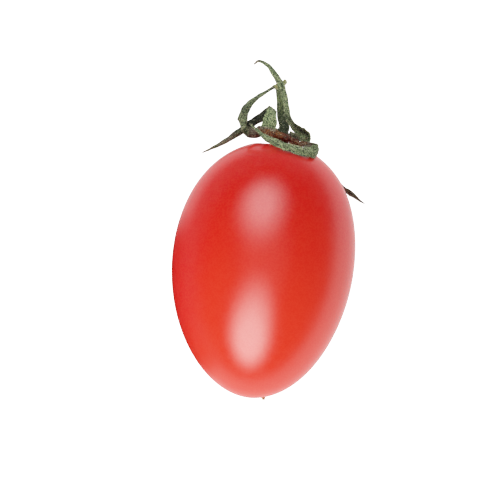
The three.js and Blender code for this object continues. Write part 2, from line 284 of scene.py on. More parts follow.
def through(points, places):
    """A centripetal Catmull-Rom curve through the points, read at places from 0 to 1 by index.

    Between two points it is the cubic that leaves and reaches them along the curve's own
    slopes, and each end goes on past itself by its last step.
    """
    p = np.asarray(points, float)
    q = np.vstack((2 * p[:1] - p[1:2], p, 2 * p[-1:] - p[-2:-1]))
    step = np.maximum(np.linalg.norm(np.diff(q, axis=0), axis=1), 1e-6) ** 0.5
    d0, d1, d2 = (step[i : len(p) - 1 + i, None] for i in range(3))
    x0, x1, x2, x3 = (q[i : len(p) - 1 + i] for i in range(4))
    out = ((x1 - x0) / d0 - (x2 - x0) / (d0 + d1) + (x2 - x1) / d1) * d1
    into = ((x2 - x1) / d1 - (x3 - x1) / (d1 + d2) + (x3 - x2) / d2) * d1
    where = np.clip(places, 0, 1) * (len(p) - 1)
    i = np.minimum(where.astype(int), len(p) - 2)
    w = (where - i)[:, None]
    bend2 = -3 * x1 + 3 * x2 - 2 * out - into
    bend3 = 2 * x1 - 2 * x2 + out + into
    return x1[i] + out[i] * w + bend2[i] * w**2 + bend3[i] * w**3


def even_places(points, count):
    """Places whose points on the curve stand at even distances along it, and its length."""
    fine = np.linspace(0, 1, STEPS_PER_POINT * len(points))
    steps = np.linalg.norm(np.diff(through(points, fine), axis=0), axis=1)
    run = np.concatenate(((0,), np.cumsum(steps)))
    return np.interp(np.linspace(0, run[-1], count), run, fine), run[-1]


def unit(vectors):
    """The vectors brought to length 1."""
    return vectors / np.maximum(np.linalg.norm(vectors, axis=-1, keepdims=True), 1e-12)


def read_list(values, share):
    """A list of evenly spaced values, read at shares from its first to its last, rounded off."""
    places = np.linspace(0, 1, len(values))
    return sum(np.interp(share + d, places, values) for d in ROUNDING) / len(ROUNDING)


def hump(x, middle, width):
    """A bell curve: 1 at its middle, and about a third at its width to each side."""
    return np.exp(-(((x - middle) / width) ** 2))


def turns(sides):
    """Even turns round a ring, in radians, as a row."""
    return np.linspace(0, 2 * math.pi, sides, endpoint=False)[None, :]


def carried(line, right, up, x, y):
    """Section points, x to the right and y up, at each point of a line with its own ways."""
    return line[:, None] + right[:, None] * x[..., None] + up[:, None] * y[..., None]


def ripple(u, v, seed, waves=9, low=0.5, high=3.0):
    """Smooth seeded noise, about -1 to 1: a sum of sine waves of mixed ways and lengths."""
    rng = np.random.default_rng(seed)
    total = np.zeros(np.broadcast(u, v).shape)
    for _ in range(waves):
        way, size = rng.uniform(0, 2 * math.pi), rng.uniform(low, high)
        run = size * (u * math.cos(way) + v * math.sin(way))
        total = total + np.sin(run + rng.uniform(0, 2 * math.pi))
    return total / math.sqrt(waves)


def ringed_piece(name, rings, attributes=None):
    """A closed skin over rings[i, j], point j of ring i, in millimetres.

    Each ring closes on itself, neighbouring rings are joined by four-sided faces, and the first
    and last rings are closed by a fan to their own middle.
    """
    count, sides = rings.shape[:2]
    ends = np.stack((rings[0].mean(0), rings[-1].mean(0)))
    points = np.vstack((rings.reshape(-1, 3), ends)) * MM
    i, j = np.meshgrid(np.arange(count - 1), np.arange(sides), indexing="ij")
    k = (j + 1) % sides
    quads = np.stack((i * sides + j, i * sides + k, (i + 1) * sides + k, (i + 1) * sides + j), -1)
    j = np.arange(sides)
    k = (j + 1) % sides
    first, last, top = count * sides, count * sides + 1, (count - 1) * sides
    caps = ((k, j, np.full(sides, first)), (top + j, top + k, np.full(sides, last)))
    fans = np.vstack([np.stack(cap, -1) for cap in caps])
    piece = faced_piece(name, points, quads.reshape(-1, 4), fans)
    for key, values in (attributes or {}).items():
        values = np.broadcast_to(values, (count, sides))
        full = np.concatenate((values.ravel(), (values[0].mean(), values[-1].mean())))
        layer = piece.data.attributes.new(key, "FLOAT", "POINT")
        layer.data.foreach_set("value", full.astype(np.float32))
    return piece


def faced_piece(name, points, quads, triangles):
    """A smooth-shaded object from points in metres and faces of four and of three corners."""
    mesh = bpy.data.meshes.new(name)
    corners = np.concatenate((quads.ravel(), triangles.ravel())).astype(np.int32)
    sizes = np.concatenate((np.full(len(quads), 4), np.full(len(triangles), 3)))
    mesh.vertices.add(len(points))
    mesh.vertices.foreach_set("co", points.astype(np.float32).ravel())
    mesh.loops.add(len(corners))
    mesh.loops.foreach_set("vertex_index", corners)
    mesh.polygons.add(len(sizes))
    mesh.polygons.foreach_set("loop_start", (np.cumsum(sizes) - sizes).astype(np.int32))
    mesh.polygons.foreach_set("use_smooth", np.ones(len(sizes), bool))
    mesh.update(calc_edges=True)
    mesh.validate()
    if signed_volume(mesh) < 0:
        mesh.flip_normals()
    piece = bpy.data.objects.new(name, mesh)
    bpy.context.scene.collection.objects.link(piece)
    return piece


def signed_volume(mesh):
    """The volume inside a closed mesh: positive where its faces point outwards."""
    mesh.calc_loop_triangles()
    corners = np.empty(len(mesh.loop_triangles) * 3, np.int32)
    mesh.loop_triangles.foreach_get("vertices", corners)
    points = np.empty(len(mesh.vertices) * 3, np.float32)
    mesh.vertices.foreach_get("co", points)
    a, b, c = points.reshape(-1, 3).astype(float)[corners.reshape(-1, 3)].transpose(1, 0, 2)
    return float(np.einsum("ij,ij->", a, np.cross(b, c)))


def finish_piece(piece, material, slot, *nodes):
    """Gives a piece its material and its body, and hides the CAD nodes that it stands for; the slot
    is not used.
    """
    piece.data.materials.append(material)
    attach(piece, "root")
    if nodes:
        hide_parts(*nodes)
    return piece


# ------------------------------------------------------------------ material building blocks


class Nodes:
    """A node tree, with short calls that add to it."""

    def __init__(self, tree):
        self.tree = tree

    def add(self, kind, inputs=None, **settings):
        """Adds a node; an input is a number, a colour or another node's output."""
        made = self.tree.nodes.new(kind)
        for key, value in settings.items():
            setattr(made, key, value)
        for key, value in (inputs or {}).items():
            if isinstance(value, bpy.types.NodeSocket):
                self.tree.links.new(value, made.inputs[key])
            else:
                made.inputs[key].default_value = value
        return made

    def fade(self, value, start, end, low=0.0, high=1.0):
        """Goes smoothly from low, where value is start, to high, where it is end."""
        inputs = {"Value": value, "From Min": start, "From Max": end, "To Min": low, "To Max": high}
        made = self.add("ShaderNodeMapRange", inputs, interpolation_type="SMOOTHSTEP")
        return made.outputs["Result"]

    def math(self, operation, a, b=0.0):
        """A sum, product or the like of two numbers."""
        return self.add("ShaderNodeMath", {0: a, 1: b}, operation=operation).outputs["Value"]


class Shader(Nodes):
    """A material's nodes. Its calls add a pattern, a colour or relief and return the output."""

    def __init__(self, name):
        self.material = bpy.data.materials.new(name)
        self.material.use_nodes = True
        super().__init__(self.material.node_tree)
        self.surface = self.tree.nodes["Principled BSDF"]
        self.place = self.add("ShaderNodeTexCoord").outputs["Object"]

    def noise(self, size_mm, detail=2.0, rough=0.5, place=None):
        """Cloudy noise whose patches are about size_mm across."""
        inputs = {"Vector": place or self.place, "Scale": 1 / (size_mm * MM)}
        inputs.update({"Detail": detail, "Roughness": rough})
        return self.add("ShaderNodeTexNoise", inputs).outputs["Fac"]

    def cells(self, size_mm, output="Distance"):
        """Scattered cells about size_mm apart."""
        inputs = {"Vector": self.place, "Scale": 1 / (size_mm * MM)}
        return self.add("ShaderNodeTexVoronoi", inputs).outputs[output]

    def ribbon_noise(self, along, across, size_mm, stretch, layer):
        """Noise that runs lengthwise on a ribbon whose attributes count in millimetres."""
        places = {"X": across, "Y": self.math("MULTIPLY", along, stretch), "Z": layer}
        flow = self.add("ShaderNodeCombineXYZ", places).outputs["Vector"]
        inputs = {"Vector": flow, "Scale": 1 / size_mm, "Detail": 3.0, "Roughness": 0.6}
        return self.add("ShaderNodeTexNoise", inputs).outputs["Fac"]

    def dotted(self, colour, tone, size_mm, clear, full, where, strength):
        """Dots of a tone over a colour, about size_mm apart, where another share lets them.

        A dot fades in from clear to full, which are distances from its middle in size_mm.
        """
        dots = self.math("MULTIPLY", self.fade(self.cells(size_mm), clear, full), where)
        return self.mix(self.math("MULTIPLY", dots, strength), colour, tone)

    def specks(self, colour, pale, dark):
        """Small dark dots and pale ones, in loose groups, over a colour."""
        group = self.noise(0.8, 2)
        colour = self.dotted(colour, dark, 0.3, 0.3, 0.2, self.fade(group, 0.6, 0.48), 0.85)
        return self.dotted(colour, pale, 0.36, 0.27, 0.17, self.fade(group, 0.42, 0.52), 0.8)

    def stretched(self, x, y, z):
        """The object's coordinates, stretched along each axis."""
        inputs = {"Vector": self.place, "Scale": (x, y, z)}
        return self.add("ShaderNodeMapping", inputs).outputs["Vector"]

    def read(self, name):
        """One of the piece's own attributes."""
        return self.add("ShaderNodeAttribute", attribute_name=name).outputs["Fac"]

    def mix(self, share, a, b, blend="MIX"):
        """Colour a, with a share of colour b laid over it."""
        made = self.add("ShaderNodeMix", data_type="RGBA", blend_type=blend)
        for index, value in ((0, share), (6, a), (7, b)):
            if isinstance(value, bpy.types.NodeSocket):
                self.tree.links.new(value, made.inputs[index])
            elif index:
                made.inputs[index].default_value = (*value[:3], 1)
            else:
                made.inputs[index].default_value = value
        return made.outputs[2]

    def bump(self, height, depth_mm, strength=1.0, under=None):
        """Relief depth_mm deep, on top of the relief under it."""
        inputs = {"Height": height, "Distance": depth_mm * MM, "Strength": strength}
        if under is not None:
            inputs["Normal"] = under
        return self.add("ShaderNodeBump", inputs).outputs["Normal"]

    def finish(self, colour, roughness, normal=None, **fixed):
        """Links the surface's colour, roughness and normal, and sets its even numbers."""
        for key, value in (("Base Color", colour), ("Roughness", roughness), ("Normal", normal)):
            if isinstance(value, bpy.types.NodeSocket):
                self.tree.links.new(value, self.surface.inputs[key])
            elif value is not None:
                self.surface.inputs[key].default_value = value
        for key, value in fixed.items():
            self.surface.inputs[key.replace("_", " ")].default_value = value
        return self.material


# ------------------------------------------------------------------ settings


class FruitSettings(bpy.types.PropertyGroup):
    """Colours and finish of the skin"""

    deep_red: FloatVectorProperty(
        name="Deep red",
        description="Skin towards the stem end",
        subtype="COLOR",
        size=3,
        default=(0.56, 0.0045, 0.004),
    )
    warm_red: FloatVectorProperty(
        name="Warm red",
        description="Skin towards the blossom end",
        subtype="COLOR",
        size=3,
        default=(0.61, 0.025, 0.009),
    )
    roughness: FloatProperty(
        name="Roughness",
        description="Softness of the shine",
        subtype="FACTOR",
        default=0.2,
        min=0,
        max=1,
    )
    pore_depth: FloatProperty(
        name="Pore depth",
        description="Depth of the fine pores",
        subtype="DISTANCE",
        default=0.0025 * MM,
        min=0,
    )


class CalyxSettings(bpy.types.PropertyGroup):
    """Colours and sizes of the sepals, the disc and the stalk"""

    leaf_green: FloatVectorProperty(
        name="Leaf green",
        description="Light green of the sepals",
        subtype="COLOR",
        size=3,
        default=(0.145, 0.205, 0.09),
    )
    mid_green: FloatVectorProperty(
        name="Mid green",
        description="Darker streaks of the sepals",
        subtype="COLOR",
        size=3,
        default=(0.055, 0.088, 0.036),
    )
    pale_green: FloatVectorProperty(
        name="Pale green",
        description="Veins and edges of the sepals",
        subtype="COLOR",
        size=3,
        default=(0.32, 0.37, 0.19),
    )
    dark_green: FloatVectorProperty(
        name="Dark green",
        description="Dark spots of the sepals and the stalk",
        subtype="COLOR",
        size=3,
        default=(0.012, 0.018, 0.007),
    )
    brown: FloatVectorProperty(
        name="Dry brown",
        description="Dried tissue",
        subtype="COLOR",
        size=3,
        default=(0.09, 0.064, 0.04),
    )
    speck: FloatVectorProperty(
        name="Specks",
        description="Pale specks and hairs",
        subtype="COLOR",
        size=3,
        default=(0.62, 0.6, 0.42),
    )
    thickness: FloatProperty(
        name="Sepal thickness",
        description="Thickness along the middle of a sepal",
        subtype="DISTANCE",
        default=0.2 * MM,
        min=0.05 * MM,
    )
    hair_length: FloatProperty(
        name="Hair length",
        description="Length of the longest hairs",
        subtype="DISTANCE",
        default=0.38 * MM,
        min=0,
    )
    hairs: IntProperty(
        name="Hairs",
        description="Hairs on each square millimetre",
        default=9,
        min=0,
    )


class StageSettings(bpy.types.PropertyGroup):
    """Brightness of the floor, the room and the lights"""

    floor: FloatProperty(
        name="Floor tone",
        description="Reflectance of the backlit floor",
        subtype="FACTOR",
        default=0.5,
        min=0,
        max=1,
    )
    floor_glow: FloatProperty(
        name="Floor glow",
        description="Light that shines through the floor",
        default=2.1,
        min=0,
    )
    overhead: FloatProperty(
        name="Overhead",
        description="Brightness straight above",
        default=0.35,
        min=0,
    )
    around: FloatProperty(
        name="Around",
        description="Brightness of the room at eye level",
        default=0.03,
        min=0,
    )
    table: FloatProperty(
        name="Table",
        description="Brightness that the skin mirrors from the table",
        default=0.82,
        min=0,
    )
    blossom_light: FloatProperty(
        name="Blossom-side light",
        description="Radiance of its softboxes",
        default=6.5,
        min=0,
    )
    stem_light: FloatProperty(
        name="Stem-side light",
        description="Radiance of its softboxes",
        default=3.8,
        min=0,
    )


class TomatoSettings(bpy.types.PropertyGroup):
    """The settings of every part"""

    fruit: PointerProperty(type=FruitSettings)
    calyx: PointerProperty(type=CalyxSettings)
    stage: PointerProperty(type=StageSettings)


# ------------------------------------------------------------------ the fruit

FRUIT_SIDES = 256
FRUIT_RINGS = 210
POLE_GAP = 0.012  # how far short of the two ends the rings stop, in radians
LUMPS = 0.002  # the ripples' height as a share of the distance from the axis
SHOULDER_BULGE = 0.16  # a fuller place on the stem end's shoulder
SHOULDER_SLOPE, SHOULDER_TURN = 0.9, -0.2  # where it is, in radians
GIVE = 0.04  # how softly the skin turns into the flat spot

GRAIN_RED = (0.72, 0.07, 0.03)
SPOT_RED = (0.08, 0.01, 0.005)


def fruit_rings():
    """The egg as a function of turn round its axis and slope down from the stem end.

    The distance from the axis and the height are powers of the slope's sine and cosine, which
    makes a superellipse. A bell-shaped dimple with faint folds sinks the stem end, long ripples
    keep it from being too even, and what is below the table is pressed flat.
    """
    turn = turns(FRUIT_SIDES)
    slope = np.linspace(POLE_GAP, math.pi - POLE_GAP, FRUIT_RINGS)[:, None]
    out, down = np.sin(slope), np.cos(slope)
    stem = down >= 0
    power = np.where(stem, 2 / STEM_FULLNESS, 2 / BLOSSOM_FULLNESS)
    half = np.where(stem, STEM_HALF, BLOSSOM_HALF)
    reach = FRUIT_RADIUS * out**power
    y = np.sign(down) * half * np.abs(down) ** power
    bow = BOW * ((y / half) ** 2 - 1 / 3)
    share = np.minimum(reach / DIMPLE_RADIUS, 1)
    folds = 1 + 0.1 * np.cos(5 * turn + 0.6) * share + 0.04 * np.cos(9 * turn)
    y = y - stem * DIMPLE_DEPTH * (1 - share**2) ** 2 * folds
    lumps = ripple(3 * out * np.cos(turn), 3 * down + 2 * out * np.sin(turn), 4)
    around = (turn - SHOULDER_TURN + math.pi) % (2 * math.pi) - math.pi
    shoulder = SHOULDER_BULGE * hump(slope, SHOULDER_SLOPE, 0.35) * hump(around, 0, 0.8)
    reach = reach * (1 + LUMPS * lumps) + shoulder
    x = reach * np.cos(turn) + bow
    z = AXIS_HEIGHT + reach * np.sin(turn)
    soft = np.logaddexp(0, z / GIVE) - math.log(2) * np.exp(-np.maximum(z, 0) / GIVE)
    z = np.where(z > 6 * GIVE, z, GIVE * soft)
    return np.stack(np.broadcast_arrays(x, y + 0 * turn, np.maximum(z, 0)), -1)


def skin_material(settings):
    """Glossy red skin: warmer towards the blossom end, deep red along the left side as painted
    shade, finely pored, with a few dark specks.
    """
    s = Shader("tomato_skin")
    place = s.add("ShaderNodeSeparateXYZ", {"Vector": s.place}).outputs
    uneven = s.math("ADD", place["Y"], s.math("MULTIPLY", s.noise(9, 3), -12 * MM))
    warmth_with_painted_shade = s.fade(uneven, 12 * MM, -18 * MM)
    # Painted shade: towards the left side, -X, the warm red gives way to the deep red.
    warmth_with_painted_shade = s.math("MULTIPLY", warmth_with_painted_shade, s.fade(place["X"], -14.5 * MM, -6 * MM))
    colour = s.mix(warmth_with_painted_shade, settings.deep_red, settings.warm_red)
    grain = s.noise(0.3, 2, 0.6)
    colour = s.mix(s.fade(grain, 0.4, 0.6, 0, 0.16), colour, GRAIN_RED)
    chosen = s.fade(s.cells(3.4, "Color"), 0.93, 0.95)
    colour = s.dotted(colour, SPOT_RED, 3.4, 0.028, 0.016, chosen, 0.8)
    depth = settings.pore_depth / MM
    normal = s.bump(s.noise(0.9, 2), 3 * depth)
    normal = s.bump(grain, depth, 1.0, normal)
    patches = s.fade(s.noise(1.2, 3), 0.2, 0.8, settings.roughness - 0.03, settings.roughness + 0.05)
    return s.finish(colour, patches, normal, IOR=1.45, Specular_IOR_Level=0.8)


class TOMATO_OT_fruit(bpy.types.Operator):
    """Builds the fruit's skin"""

    bl_idname = "tomato.fruit"
    bl_label = "Build Fruit"

    def execute(self, context):
        piece = ringed_piece("fruit_skin", fruit_rings())
        finish_piece(piece, skin_material(context.scene.tomato.fruit), "skin", "fruit")
        return {"FINISHED"}


# ------------------------------------------------------------------ the calyx disc

DISC_SIDES = 200
DISC_RINGS = 90

ORANGE_SIDE = ((0.1, 0.028, 0.008), (0.26, 0.105, 0.025))  # the dark tone and the light one
RED_SIDE = ((0.03, 0.006, 0.004), (0.13, 0.026, 0.01))


def disc_rings():
    """A profile of neck, underside, rim and dome, turned about the calyx's axis.

    The rim runs out towards each sepal's foot, and radial folds and ripples crease it.
    """
    profile = (
        (0.02, -NECK_RADIUS - 0.4),
        (1.1, -NECK_RADIUS + 0.1),
        (NECK_RADIUS - 0.05, -0.6),
        (NECK_RADIUS, 0.05),
        (2.1, NECK_RISE),
        (DISC_RADIUS, NECK_RISE + 0.06),
        (DISC_RADIUS + 0.22, NECK_RISE + 0.5 * DISC_THICKNESS),
        (DISC_RADIUS, NECK_RISE + DISC_THICKNESS),
        (1.9, CROWN - 0.26),
        (1.2, CROWN - 0.06),
        (0.02, CROWN + 0.02),
    )
    path = np.array([(r, h, 0) for r, h in profile])
    places, _ = even_places(path, DISC_RINGS)
    line = through(path, places)
    reach, height = line[:, :1], line[:, 1:2]
    turn = turns(DISC_SIDES)
    lobes = sum(np.exp(3.0 * (np.cos(turn - math.radians(s["turn"])) - 1)) for s in SEPALS)
    outer = np.clip((reach - 1.4) / 1.2, 0, 1)
    reach = reach * (1 + outer * (0.13 * lobes - 0.07 + 0.02 * ripple(3 * turn, height, 7, high=5)))
    folds = 0.05 * np.cos(17 * turn + 2 * np.sin(3 * turn)) + 0.05 * ripple(9 * turn, 3 * reach, 8)
    height = height + outer * folds + 0.03 * outer * ripple(20 * turn, 8 * reach, 9)
    points = np.stack(np.broadcast_arrays(reach * np.cos(turn), height, reach * np.sin(turn)), -1)
    return from_calyx(points)


def dried_material(settings):
    """Dry tissue, orange-brown on one side and dark red-brown on the other, with pale specks."""
    s = Shader("dried_base")
    x = s.add("ShaderNodeSeparateXYZ", {"Vector": s.place}).outputs["X"]
    uneven = s.math("ADD", x, s.math("MULTIPLY", s.noise(0.9, 3), 2 * MM))
    side = s.fade(uneven, 0.3 * MM, 2 * MM)
    dark, light = (s.mix(side, orange, red) for orange, red in zip(ORANGE_SIDE, RED_SIDE))
    colour = s.mix(s.fade(s.noise(0.45, 4, 0.6), 0.4, 0.6), dark, light)
    groups = s.fade(s.noise(0.5, 2), 0.46, 0.54)
    colour = s.dotted(colour, settings.speck, 0.27, 0.3, 0.18, groups, 0.8)
    normal = s.bump(s.noise(0.22, 4, 0.65), 0.1, 0.9)
    return s.finish(colour, 0.7, normal, Specular_IOR_Level=0.2)


class TOMATO_OT_disc(bpy.types.Operator):
    """Builds the brown disc that the sepals spring from"""

    bl_idname = "tomato.disc"
    bl_label = "Build Calyx Disc"

    def execute(self, context):
        piece = ringed_piece("dried_disc", disc_rings())
        finish_piece(piece, dried_material(context.scene.tomato.calyx), "dried_base", "calyx_disc")
        return {"FINISHED"}


# ------------------------------------------------------------------ the sepals

SEPAL_SIDES = 40
SEPAL_RINGS = 260
ROOT_REACH = 1.3  # how far from the calyx's axis a sepal starts, inside the disc
ROOT_LIFT = 1.35  # the height of its start, where the middle of the rim's height is 1
LEAST_ROLL = 0.05  # the flattest roll, in radians, since the arc's formula divides by it
ROLL_WANDER = 0.12  # how far the roll wanders, in radians
EDGE_WANDER = 0.07  # how far the edges wander, as a share of the half width
EDGE_WAVE = 0.1  # how far the edges wave up and down, in half widths
VEINS = (0.045, 0.03)  # heights of the broad and the fine veins, in half widths
WRINKLES = (0.05, 0.03)  # heights of the broad and the fine wrinkles, in half widths
TIP_SHARE = 0.03  # the last share of the length, where the ribbon thins to its point
# Painted shade: where across the outer side the dark trough is painted.
PAINTED_TROUGH = (0.35, 0.42)  # middle and width of the dark trough, across the outer side


def sepal_path(sepal):
    """The ribbon's middle line and the way its outer side looks, as two lists of like points."""
    turn = math.radians(sepal["turn"])
    out = np.array((math.cos(turn), 0, math.sin(turn)))
    level = np.array((0, NECK_RISE + DISC_THICKNESS / 2, 0))
    root = from_calyx(out * ROOT_REACH + level * ROOT_LIFT)
    foot = from_calyx(out * (DISC_RADIUS + SEAT_GAP) + level)
    base = np.array((root, foot, foot + RIM_STEP * (CALYX @ out)))
    spine = list(base + np.array(sepal.get("base_shift", (0, 0, 0))))
    faces = [np.array(sepal.get("base_face", CROWN_NORMAL))] * 3
    for across, rise, towards, face in sepal.get("bends", ()):
        x, z = foot[0] + across, foot[2] + towards
        spine.append((x, skin_height(math.hypot(x, z - AXIS_HEIGHT)) + rise, z))
        faces.append(unit(np.array(face, float)))
    for place in sepal.get("on_skin", ()):
        spine.append(on_shoulder(*place))
        faces.append(skin_normal(spine[-1]))
    return np.array(spine, float), np.array(faces, float)


def sepal_relief(along, x, seed):
    """Veins as cosine waves across a ribbon, and wrinkles as ripples all over it."""
    sway = 0.5 * np.sin(0.9 * along)
    veins = VEINS[0] * np.cos(3 * math.pi * x + sway) + VEINS[1] * np.cos(7 * math.pi * x)
    broad = ripple(2.2 * along, 5.0 * x, seed, 14, 1.0, 3.0)
    fine = ripple(4 * along, 9 * x, seed + 1, 14)
    return veins + WRINKLES[0] * broad + WRINKLES[1] * fine


def sepal_surface(sepal, thickness, seed):
    """A dried ribbon as a function of place along its line and turn round its section.

    The section is a thin lens bent into an arc, the roll. Its edges wander, its faces carry
    lengthwise veins and small wrinkles, and it narrows to a point at the tip.
    """
    spine, faces = sepal_path(sepal)
    places, length = even_places(spine, SEPAL_RINGS)
    line = through(spine, places)
    ahead = unit(np.gradient(line, axis=0))
    across = unit(np.cross(ahead, through(faces, places)))
    face = np.cross(across, ahead)
    foot = 1 / (len(spine) - 1)
    share = np.clip((places - foot) / (1 - foot), 0, 1)[:, None]
    along = np.linspace(0, length, SEPAL_RINGS)[:, None]
    turn = turns(SEPAL_SIDES)
    x, outer = np.cos(turn), np.sin(turn)
    edge = np.where(x > 0, 1, -1)

    roll = read_list(sepal["roll"], share) + ROLL_WANDER * ripple(0.8 * along, 0, seed)
    roll = np.where(np.abs(roll) < LEAST_ROLL, LEAST_ROLL, roll)
    half = read_list(sepal["widths"], share) / 2 * np.abs(roll) / np.sin(np.abs(roll))
    wander = EDGE_WANDER * ripple(1.6 * along, 2 * edge, seed + 1, high=2.5)
    half = half * (1 + wander * np.abs(x))
    bend = roll * x
    sideways = half / roll * np.sin(bend)
    lift = half / roll * (1 - np.cos(bend)) - half / roll * (1 - np.sin(roll) / roll)

    closing = np.clip((1 - share) / TIP_SHARE, 0.12, 1)
    lens = np.sign(outer) * np.abs(outer) ** 0.55 * (0.55 + 0.45 * (1 - x**2))
    relief = sepal_relief(along, x, seed + 2) * np.minimum(half, 0.8)
    body = (thickness / 2 * lens + relief) * closing
    wave = EDGE_WAVE * x**2 * edge * ripple(1.9 * along, edge, seed + 4) * np.minimum(half, 0.7)
    sideways = sideways - np.sin(bend) * body
    lift = lift + np.cos(bend) * body + wave

    # Painted shade: a dark trough painted into the outer side's colour, where a curled sepal's
    # hollow lies in shade.
    hollow = read_list(sepal.get("hollow", (0, 0)), share) * (outer > 0) * hump(x, *PAINTED_TROUGH)
    attributes = {
        "along": along,
        "across": half * x,
        "edge": np.abs(x),
        "dry": read_list(sepal["dry"], share),
        # Painted light and shade: the sepal's list darkens its colour where it lay in shadow and
        # lightens it where it caught the light, and the trough's painted shade darkens it further.
        "painted_light_and_shade": read_list(sepal["painted_light_and_shade"], share) * (1 - hollow),
    }
    return carried(line, across, face, sideways, lift), attributes


PALE_BROWN = (0.2, 0.165, 0.115)
# The crease brown is partly the dry tissue's own dark streaks and partly painted shade in its sunk
# creases.
CREASE_SHADE_BROWN = (0.02, 0.013, 0.01)
BASE_RED_BROWN = (0.07, 0.018, 0.007)
BASE_ORANGE = (0.22, 0.085, 0.022)


def leaf_material(settings):
    """Dried leaf: streaked dull green with dark spots and pale specks, turning brown where dry.

    Where it is driest, at the roots, it takes the disc's orange and red-brown. The darkest streaks
    in its sunk creases are partly painted shade, and the whole colour is multiplied by a factor of
    painted light and shade.
    """
    s = Shader("dried_leaf")
    along, across = s.read("along"), s.read("across")
    streaks = s.ribbon_noise(along, across, 0.17, 0.3, 0)
    veins = s.ribbon_noise(along, across, 0.19, 0.09, 10)
    creases_with_painted_shade = s.ribbon_noise(along, across, 0.15, 0.3, 20)
    green = s.mix(s.fade(streaks, 0.43, 0.57), settings.mid_green, settings.leaf_green)
    green = s.mix(s.fade(veins, 0.53, 0.6, 0, 0.8), green, settings.pale_green)
    green = s.mix(s.fade(s.read("edge"), 0.9, 1.0, 0, 0.5), green, settings.pale_green)
    # The dark green in the creases, which the relief below sinks, is partly the leaf's own dark
    # streaks and partly painted shade.
    green = s.mix(s.fade(creases_with_painted_shade, 0.54, 0.6, 0, 0.92), green, settings.dark_green)
    grain = s.noise(0.18, 1)
    green = s.mix(s.fade(grain, 0.53, 0.6, 0, 0.75), green, settings.pale_green)
    green = s.mix(s.fade(grain, 0.46, 0.38, 0, 0.9), green, settings.dark_green)
    brown = s.mix(s.fade(streaks, 0.43, 0.57), settings.brown, PALE_BROWN)
    # The same creases on the dry tissue: partly its own dark streaks, partly painted shade.
    brown = s.mix(s.fade(creases_with_painted_shade, 0.53, 0.59), brown, CREASE_SHADE_BROWN)
    base = s.mix(s.fade(streaks, 0.4, 0.6), BASE_RED_BROWN, BASE_ORANGE)
    uneven = s.math("MULTIPLY", s.math("SUBTRACT", s.noise(0.8, 3), 0.5), 0.5)
    dry = s.math("ADD", s.read("dry"), uneven)
    colour = s.mix(s.fade(dry, 0.32, 0.5), green, brown)
    colour = s.mix(s.fade(dry, 0.66, 0.78), colour, base)
    colour = s.specks(colour, settings.speck, settings.dark_green)
    # Painted light and shade: the colour is multiplied by the sepal's factor.
    channels = dict.fromkeys(("Red", "Green", "Blue"), s.read("painted_light_and_shade"))
    painted_light_and_shade = s.add("ShaderNodeCombineColor", channels).outputs["Color"]
    colour = s.mix(1.0, colour, painted_light_and_shade, "MULTIPLY")
    normal = s.bump(veins, 0.12, 0.9)
    normal = s.bump(s.math("SUBTRACT", streaks, creases_with_painted_shade), 0.12, 0.9, normal)
    return s.finish(colour, 0.6, normal, Specular_IOR_Level=0.35)


class TOMATO_OT_sepals(bpy.types.Operator):
    """Builds the dried sepals and the short hairs on them"""

    bl_idname = "tomato.sepals"
    bl_label = "Build Sepals"

    def execute(self, context):
        settings = context.scene.tomato.calyx
        material = leaf_material(settings)
        hairs = []
        for number, sepal in enumerate(SEPALS):
            rings, attributes = sepal_surface(sepal, settings.thickness / MM, 20 * number)
            piece = ringed_piece("dried_" + sepal["name"], rings, attributes)
            finish_piece(piece, material, "sepal", sepal["name"])
            hairs.append(hairs_on(rings, settings, 500 + number))
        hair_piece("sepal_hairs", hairs, hair_material(settings), "sepal")
        return {"FINISHED"}


# ------------------------------------------------------------------ hairs

HAIR_RADIUS = 0.026
HAIR_GREEN = (0.3, 0.36, 0.2)
HAIR_POINTS = 7
HAIR_FACES = np.array(((0, 1, 4, 3), (1, 2, 5, 4), (2, 0, 3, 5)))
HAIR_CAPS = np.array(((3, 4, 6), (4, 5, 6), (5, 3, 6), (2, 1, 0)))


def hairs_on(rings, settings, seed):
    """Bent three-sided spikes scattered evenly over a ringed surface.

    A spike's points are three at its base, three at its middle and one at its tip.
    """
    rng = np.random.default_rng(seed)
    right = np.roll(rings, -1, axis=1)
    du, dv = right[:-1] - rings[:-1], rings[1:] - rings[:-1]
    normal = np.cross(dv, du)
    area = np.linalg.norm(normal, axis=-1)
    if (normal * (rings[:-1] - rings[:-1].mean(1, keepdims=True))).sum() < 0:
        normal = -normal
    count = int(area.sum() * settings.hairs)
    pick = rng.choice(area.size, count, p=area.ravel() / area.sum())
    i, j = np.unravel_index(pick, area.shape)
    base = rings[i, j] + du[i, j] * rng.random((count, 1)) + dv[i, j] * rng.random((count, 1))
    grow = unit(unit(normal[i, j]) + 0.45 * rng.normal(size=(count, 3)))
    side = unit(np.cross(grow, rng.normal(size=(count, 3))))
    other = np.cross(grow, side)
    tall = settings.hair_length / MM * rng.uniform(0.25, 1, (count, 1)) ** 1.5
    lean = 0.25 * tall * side
    angles = (0, 2 * math.pi / 3, 4 * math.pi / 3)
    spread = [HAIR_RADIUS * (math.cos(a) * side + math.sin(a) * other) for a in angles]
    low = [base - 0.02 * grow + s for s in spread]
    mid = [base + 0.55 * tall * grow + 0.3 * lean + 0.6 * s for s in spread]
    return np.stack((*low, *mid, base + tall * grow + lean), 1)


def hair_piece(name, groups, material, slot):
    """One object for many hairs, each a closed spike of a few faces."""
    spikes = np.concatenate(groups)
    start = HAIR_POINTS * np.arange(len(spikes))[:, None, None]
    quads = (HAIR_FACES[None] + start).reshape(-1, 4)
    triangles = (HAIR_CAPS[None] + start).reshape(-1, 3)
    piece = faced_piece(name, spikes.reshape(-1, 3) * MM, quads, triangles)
    return finish_piece(piece, material, slot)


